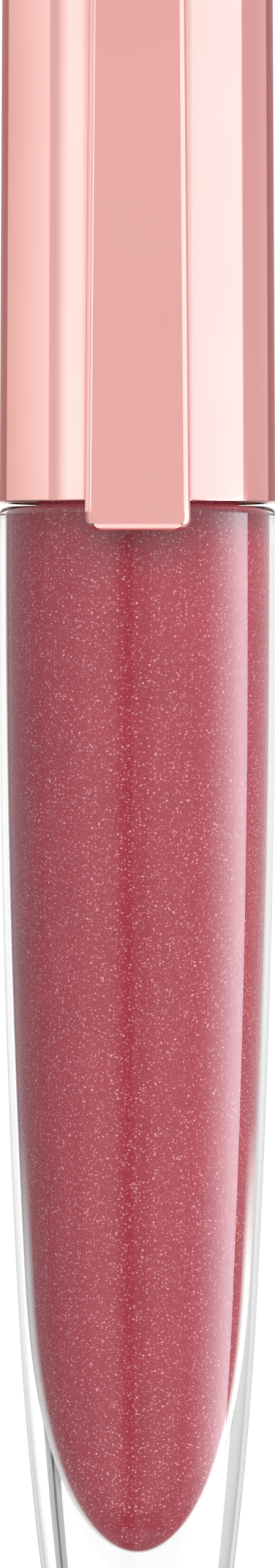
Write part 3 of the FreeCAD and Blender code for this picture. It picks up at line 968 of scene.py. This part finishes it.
    def clip_rows(self) -> tuple[np.ndarray, np.ndarray, np.ndarray]:
        """Path of the clip: its outer line, its inner line and its half width, row by row.

        The outer line climbs the front, bends back over the top and runs to the tongue's end. The inner
        line is how far it stands inside the shell's circle, or -1 along the tongue, and its height.

        Returns:
            Arrays (n, 2) of outer depth and height, (n, 2) of inner shift and height, and (n,) half widths.
        """
        turn, foot = self.clip_round, self.clip_end + self.clip_round
        bend = np.radians(np.linspace(0, self.quarter, 9))
        low = self.clip_end + turn * (1 - np.cos(bend) ** self.clip_flatness)
        front_low = self.clip_front - turn * (1 - np.sin(bend) ** self.clip_flatness)
        body = np.linspace(foot + self.clip_clear[0], self.shell_top - self.clip_clear[1], self.clip_rows_up)
        body = np.concatenate([foot + np.array(self.clip_supports), body])
        corner = Arc((self.clip_front - turn, self.clip_top - turn), turn, 0, 90, 9).points()
        back = np.linspace(self.clip_front - turn, self.tongue_end, 26)[1:]
        depth = np.concatenate([front_low, np.full(len(body), self.clip_front), corner[:, 0], back])
        height = np.concatenate([low, body, corner[:, 1], np.full(len(back), self.clip_top)])
        half = self.clip_half + (self.clip_top_half - self.clip_half) * (
            (height - self.clip_end) / (self.clip_top - self.clip_end))
        rise = np.clip(self.clip_corner - (height - self.clip_end), 0, self.clip_corner)
        half = half - (self.clip_corner - np.sqrt(self.clip_corner ** 2 - rise ** 2))
        fold, straight, far = len(corner), np.concatenate([low, body]), np.full(len(back), -1.0)
        start, full = self.tongue_gap
        shift = np.concatenate([np.zeros(len(straight)), np.linspace(start, full, fold), far])
        level = np.concatenate([straight, self.shell_top - full + np.linspace(0.0, full, fold),
                                np.full(len(back), self.shell_top)])
        return np.column_stack([depth, height]), np.column_stack([shift, level]), half

    def build_clip(self) -> bpy.types.Object:
        """Builds the clip: a flat-faced strip whose back follows the shell, with a tongue over its top.

        Each row of the grid is a closed loop: outer face, rounded edge, side, back face along the shell's
        circle, side and rounded edge. The rows follow the path, and both ends are closed flat.

        Returns:
            The clip's object.
        """
        *lines, half = self.clip_rows()
        (depth, height), (shift, level) = (line.T[:, :, None] for line in lines)
        half, turn = half[:, None], self.clip_round
        bevel = np.radians(np.linspace(0, self.quarter, 8))
        flat = half - self.clip_bevel
        right = flat + (self.clip_bevel - self.clip_lean) * np.sin(bevel) ** self.clip_flatness
        drop = turn * (1 - np.cos(bevel) ** self.clip_flatness)
        face = np.concatenate([-right[:, ::-1], np.array(self.across_face) * flat, right], axis=1)
        sink = np.concatenate([drop[::-1], np.zeros(len(self.across_face)), drop])
        tilt = np.clip((height - (self.clip_top - turn)) / turn, 0, 1)
        front = np.stack([face, sink * (1 - tilt) - depth, height - sink * tilt], axis=-1)
        back = half * np.linspace(1, -1, self.back_columns)
        circle = self.outside(np.minimum(level, self.shell_top)) + self.clip_gap
        round_back = np.sqrt(circle ** 2 - back ** 2)
        inner = np.where(shift >= 0, round_back - shift, np.minimum(depth, round_back - self.tongue_gap[1]))
        behind = np.stack([back, -inner, np.broadcast_to(level, back.shape)], axis=-1)
        grid = np.concatenate([front, behind], axis=1)
        count = grid.shape[1]
        faces = grid_faces(len(grid), count, False).tolist()
        faces.append(list(range(count))[::-1])
        faces.append(list(range((len(grid) - 1) * count, len(grid) * count)))
        return build_mesh("clip_strip", grid.reshape(-1, 3), faces, crease=38)

    def build_wand(self) -> bpy.types.Object:
        """Builds the wand rod: ribbed plug, collar, stem that narrows, and a socket for the tip.

        Returns:
            The rod's object.
        """
        return turned("wand_stem", joined(*self.wand_outline), self.wand_columns, Ends.POLES, crease=45)

    def tip_radius(self, height: np.ndarray) -> np.ndarray:
        """Tip's radius at a height: blunt nose, widest part, then a taper to the stem."""
        return np.interp(height, *np.array(self.tip_shape).T)

    def build_tip(self) -> bpy.types.Object:
        """Builds the tip's core: a turned body with one slanted flat face on its front.

        Points in front of the slanting plane are moved back onto it.

        Returns:
            The core's object.
        """
        height = np.linspace(*self.tip_span, self.tip_rows)
        skin = np.column_stack([self.tip_radius(height) - self.flock_bed, height])
        profile = joined(*self.tip_nose, skin, *self.tip_peg)
        tip = turned("applicator_core", profile, self.wand_columns, Ends.POLES, crease=45)
        flat = np.zeros(len(tip.data.vertices) * 3)
        tip.data.vertices.foreach_get("co", flat)
        points = flat.reshape(-1, 3) / MM
        points[:, 1] = np.maximum(points[:, 1], self.slant(points[:, 2]))
        tip.data.vertices.foreach_set("co", (points * MM).reshape(-1))
        tip.data.update()
        return tip

    def slant(self, height: np.ndarray) -> np.ndarray:
        """Depth of the tip's slanted face: a straight line from near the axis at the nose to its edge."""
        return self.slant_start - (height - self.tip_span[0]) * self.slant_rate

    def build_flock(self) -> bpy.types.Object:
        """Builds the flock: short closed spikes that stand on the tip, each with its own lean, all seeded.

        Returns:
            The flock's object.
        """
        draw = np.random.default_rng(self.fibre_seed)
        count = self.fibre_count
        height = draw.uniform(*self.fibre_span, count)
        angle = draw.uniform(0, TURN, count)
        radius = self.tip_radius(height) - self.fibre_root
        outward = outwards(angle)
        root = outward * radius[:, None]
        root[:, 2] = height
        plane = self.slant(height)
        cut = root[:, 1] < plane
        root[cut, 1] = plane[cut]
        lean = draw.normal(0, self.fibre_lean, (count, 3))
        face = np.where(cut[:, None], np.array(self.slant_facing), outward)
        grow = unit(face + lean)
        length = draw.uniform(*self.fibre_length, count)[:, None]
        side = unit(np.cross(grow, self.oblique))
        other = np.cross(grow, side)
        feet = [root + self.fibre_half * (side * math.cos(a) + other * math.sin(a))
                for a in (0.0, TURN / 3, 2 * TURN / 3)]
        corners = [*feet, root + grow * length]
        return strewn("applicator_flock", corners, [[0, 1, 3], [1, 2, 3], [2, 0, 3], [0, 2, 1]])

    def make(self) -> None:
        """Builds and dresses every piece of the cap."""
        dress(self.build_shell(), RoseMetal("shell_rose_metal").make(), "cap", "shell_metal", "cap_shell")
        dress(self.build_clip(), RoseMetal("clip_rose_metal").make(), "cap", "clip_metal", "clip")
        repaint("inner_cap", Moulded("inner_cap_plastic", (0.78, 0.52, 0.48), 0.25, 0.4).make())
        stem = Moulded("stem_plastic_skin", (0.82, 0.6, 0.57), 0.2, 0.35)
        dress(self.build_wand(), stem.make(), "cap", "stem_plastic", "wand_rod")
        flock = StainedFlock().make()
        dress(self.build_tip(), flock, "cap", "flock", "applicator")
        dress(self.build_flock(), flock, "cap", "flock")


# ---------------------------------------------------------------- studio


class Seen(Enum):
    """Which rays a studio card is there for."""

    MIRROR = "reflections"
    THROUGH = "light seen through clear plastic"


@dataclass
class GlowDrum:
    """An upright card bent round the object whose glow and tint change with the bearing.

    A bearing is in degrees from straight in front, positive to the right. The card's lower and upper
    edges may change with the bearing too.
    """

    name: str
    seen: Seen
    low: Rows
    high: Rows
    glow: Rows
    tint: Tints = ((0.0, 1.0, 1.0, 1.0),)
    radius: float = 120.0
    step: float = 0.25

    def make(self) -> bpy.types.Object:
        """Builds the card: points at (radius sin b, -radius cos b) for each bearing b, at three heights.

        Returns:
            The card's object.
        """
        rows = np.array(self.glow)
        bearing = np.arange(rows[0, 0], rows[-1, 0] + self.step / 2, self.step)
        tint = np.array(self.tint)
        glow = np.interp(bearing, rows[:, 0], rows[:, 1])
        colour = np.column_stack([np.interp(bearing, tint[:, 0], part) * glow for part in tint[:, 1:].T])
        low = np.interp(bearing, *np.array(self.low).T)
        high = np.interp(bearing, *np.array(self.high).T)
        angle = np.radians(bearing)
        ring = np.column_stack([self.radius * np.sin(angle), -self.radius * np.cos(angle)])
        levels = np.linspace(low, high, 3)
        points = np.vstack([np.column_stack([ring, level]) for level in levels])
        card = build_mesh(self.name, points, sheet_faces(levels.shape))
        paint = np.column_stack([np.tile(colour, (len(levels), 1)), np.ones(len(points))])
        card.data.attributes.new("glow", "FLOAT_COLOR", "POINT").data.foreach_set("color", paint.reshape(-1))
        material, board = new_material(self.name + "_paper")
        glow = board.add("ShaderNodeAttribute", attribute_name="glow").outputs["Color"]
        shader = board.add("ShaderNodeEmission", {"Color": glow, "Strength": 1.0})
        board.finish(shader.outputs[0])
        material.cycles.emission_sampling = "NONE"
        card.data.materials.append(material)
        card.visible_camera = False
        card.visible_diffuse = False
        card.visible_shadow = False
        card.visible_volume_scatter = False
        card.visible_glossy = self.seen is Seen.MIRROR
        card.visible_transmission = self.seen is Seen.THROUGH
        return card


@dataclass
class Studio:
    """White studio: floor, glow drums, soft lamps, world and camera. Lengths in metres."""

    lens: float = 300.0
    distance: float = 0.855
    eye_height: float = 0.0559
    tier: Rows = ((-180, 75.9), (-41, 75.9), (-40, 74.2), (40, 74.2), (41, 75.9), (180, 75.9))
    top: Rows = ((0, 420.0),)
    bottom: Rows = ((0, -420.0),)
    flag_top: Rows = ((0, -38.0),)
    flag_low: Rows = ((0, -220.0),)
    near_radius: float = 110.0
    lid: Rows = ((0, 126.0),)
    lid_glow: float = 1.0
    apron_top: Rows = ((0, -36.0),)
    apron_low: Rows = ((0, -6000.0),)
    floor_glow: float = 0.45
    floor_half: float = 12000.0
    floor_level: float = -0.02
    floor_lines: int = 9
    floor_grain: float = 300.0
    floor_tones: Pair = (0.79, 0.82)
    ambient: float = 0.33
    front_lamp: tuple[float, float, float, float] = (-4.0, 22.0, 0.60, 50.0)
    right_lamp: tuple[float, float, float, float] = (108.0, 22.0, 0.82, 40.0)
    cap_glow: Rows = (
        (-180, 0.95), (-170, 0.95), (-166, 0.5), (-139, 0.5), (-138.5, 0.93), (-100, 1.25),
        (-77.2, 1.42), (-77, 0.94), (-70, 1.0), (-58, 1.9), (-46, 1.85), (-40, 1.0), (40, 1.0),
        (46, 1.8), (96.3, 2.0), (96.7, 0.88), (138, 0.9),
        (138.5, 0.5), (166, 0.5), (170, 0.95), (180, 0.95))
    cap_tint: Tints = (
        (-171, 1.0, 1.0, 1.0), (-165, 1.0, 0.6, 0.58), (-141, 1.0, 0.6, 0.58), (-137, 1.0, 0.92, 0.88),
        (-110, 0.93, 1.0, 0.98), (-79, 0.85, 1.08, 1.08),
        (-76, 1.0, 1.0, 1.0), (-68, 0.85, 1.02, 1.03), (-44, 0.72, 1.0, 1.02), (-39, 1.0, 1.0, 1.0),
        (39, 1.0, 1.0, 1.0), (44, 0.72, 1.05, 1.1), (96.4, 0.7, 1.02, 1.06), (96.7, 1.0, 0.96, 0.99),
        (137, 1.0, 0.92, 0.94), (139, 1.0, 0.6, 0.62),
        (165, 1.0, 0.6, 0.62), (171, 1.0, 1.0, 1.0))
    bottle_glow: Rows = (
        (-180, 1.0), (-152, 1.0), (-142, 0.15), (-124, 0.25), (-100, 0.5), (-85, 0.7), (-65, 1.0), (-24, 1.0),
        (-13, 0.5), (-8, 0.4), (-5, 0.5), (-2, 1.0), (48, 1.0), (60, 1.9), (74, 4.2), (90, 7.6), (97, 8.2),
        (101.8, 7.0), (102.4, 0.6), (140, 0.5), (150, 1.0), (180, 1.0))
    bottle_tint: Tints = (
        (-144, 1.0, 1.0, 1.0), (-140, 0.85, 0.9, 1.15), (-116, 0.85, 0.9, 1.15),
        (-104, 1.0, 0.96, 0.96), (-50, 1.0, 1.0, 1.0),
        (48, 1.0, 1.0, 1.0), (62, 0.82, 0.95, 1.02), (102, 0.78, 0.92, 1.0), (103, 1.0, 1.0, 1.0))
    through_glow: Rows = (
        (-180, 1.0), (-138, 1.0), (-137, 0.62), (-119, 0.66), (-117, 1.0), (-80, 1.0), (-60, 2.8), (-28, 2.8),
        (-12, 0.0), (6, 0.0), (21, 2.8), (60, 2.8), (80, 1.0), (136.5, 1.0), (137.5, 0.35), (141.8, 0.35),
        (142.0, 0.03), (143.8, 0.03), (144.0, 0.35), (147.5, 0.35), (148.5, 1.0), (180, 1.0))
    left_flag: Rows = ((-95, 0.05), (-33, 0.05))
    right_flag: Rows = ((33, 0.05), (95, 0.05))
    flag_tint: Tints = ((0, 1.0, 0.75, 0.7),)
    apron: Rows = ((-31.5, 1.7), (31.5, 1.7))

    def make_world(self) -> None:
        """Makes the world: plain white to the eye, softer for lighting."""
        world = bpy.data.worlds.new("white_room")
        bpy.context.scene.world = world
        world.use_nodes = True
        board = Board(world.node_tree)
        path = board.add("ShaderNodeLightPath")
        shown = board.maths("MAXIMUM", path.outputs["Is Camera Ray"], path.outputs["Is Glossy Ray"])
        shown = board.maths("MAXIMUM", shown, path.outputs["Is Transmission Ray"])
        strength = board.spread(shown, (0.0, 1.0), (self.ambient, 1.0))
        back = board.add("ShaderNodeBackground", {"Color": opaque((1.0, 1.0, 1.0)), "Strength": strength})
        board.add("ShaderNodeOutputWorld", {"Surface": back.outputs[0]})

    def make_floor(self) -> None:
        """Makes the floor: a pale sheet with a little glow of its own, so that only the shadow shows."""
        step = np.linspace(-self.floor_half, self.floor_half, self.floor_lines)
        across, deep = np.meshgrid(step, step)
        points = np.column_stack([across.ravel(), deep.ravel(), np.full(across.size, self.floor_level)])
        floor = build_mesh("floor", points, sheet_faces(across.shape))
        material, board = new_material("pale_floor")
        paper = board.spread(board.noise(self.floor_grain), NOISE_SPAN)
        colour = board.blend(paper, *(opaque((tone, tone, tone)) for tone in self.floor_tones))
        matt = board.add("ShaderNodeBsdfDiffuse", {"Color": colour})
        path = board.add("ShaderNodeLightPath")
        glow = board.add("ShaderNodeEmission", {
            "Strength": board.maths("MULTIPLY", path.outputs["Is Camera Ray"], self.floor_glow)})
        both = board.add("ShaderNodeAddShader", {0: matt.outputs[0], 1: glow.outputs[0]})
        board.finish(both.outputs[0])
        material.cycles.emission_sampling = "NONE"
        floor.data.materials.append(material)
        floor.visible_glossy = False
        floor.visible_transmission = False

    def make_lamp(self, name: str, bearing: float, height: float, strength: float, softness: float) -> None:
        """Makes one soft far lamp that lights matt surfaces only.

        Args:
            name: lamp name.
            bearing: degrees from straight in front, positive to the right.
            height: degrees above the horizon.
            strength: brightness of a white surface that faces it.
            softness: angle that the lamp fills, in degrees.
        """
        light = bpy.data.lights.new(name, "SUN")
        light.energy = strength * math.pi
        light.angle = math.radians(softness)
        lamp = bpy.data.objects.new(name, light)
        bpy.context.scene.collection.objects.link(lamp)
        lamp.rotation_euler = (math.radians(90 - height), 0, math.radians(bearing))
        lamp.visible_glossy = False
        lamp.visible_transmission = False
        lamp.visible_camera = False

    def make_camera(self) -> None:
        """Makes the camera: far away, level, straight in front."""
        lens = bpy.data.cameras.new("eye")
        lens.type = "PERSP"
        lens.sensor_fit = "AUTO"
        lens.sensor_width = 36.0
        lens.lens = self.lens
        lens.clip_start = 0.01
        lens.clip_end = 40.0
        lens.dof.use_dof = False
        eye = bpy.data.objects.new("eye", lens)
        bpy.context.scene.collection.objects.link(eye)
        eye.location = (0.0, -self.distance, self.eye_height)
        eye.rotation_euler = (math.radians(90), 0, 0)
        bpy.context.scene.camera = eye

    def make(self) -> None:
        """Builds the whole studio."""
        self.make_world()
        self.make_floor()
        GlowDrum("cap_drum", Seen.MIRROR, self.tier, self.lid, self.cap_glow, self.cap_tint).make()
        calm = tuple((bearing, min(glow, self.lid_glow)) for bearing, glow in self.cap_glow)
        GlowDrum("lid_drum", Seen.MIRROR, self.lid, self.top, calm).make()
        GlowDrum("bottle_drum", Seen.MIRROR, self.bottom, self.tier, self.bottle_glow,
                 self.bottle_tint).make()
        GlowDrum("through_drum", Seen.THROUGH, self.bottom, self.top, self.through_glow).make()
        near, low, high = self.near_radius, self.flag_low, self.flag_top
        for side, glow in (("left", self.left_flag), ("right", self.right_flag)):
            GlowDrum(side + "_flag", Seen.MIRROR, low, high, glow, self.flag_tint, near).make()
        GlowDrum("apron", Seen.MIRROR, self.apron_low, self.apron_top, self.apron, radius=near).make()
        self.make_lamp("front_lamp", *self.front_lamp)
        self.make_lamp("right_lamp", *self.right_lamp)
        self.make_camera()
        bpy.context.scene.view_settings.view_transform = "Standard"


def main() -> None:
    """Builds the bottle, the seal, the cap and the studio."""
    logging.basicConfig(level=logging.INFO, format="%(name)s %(message)s")
    Bottle().make()
    CapSeal().make()
    Cap().make()
    Studio().make()


if __name__ == "__main__":
    main()
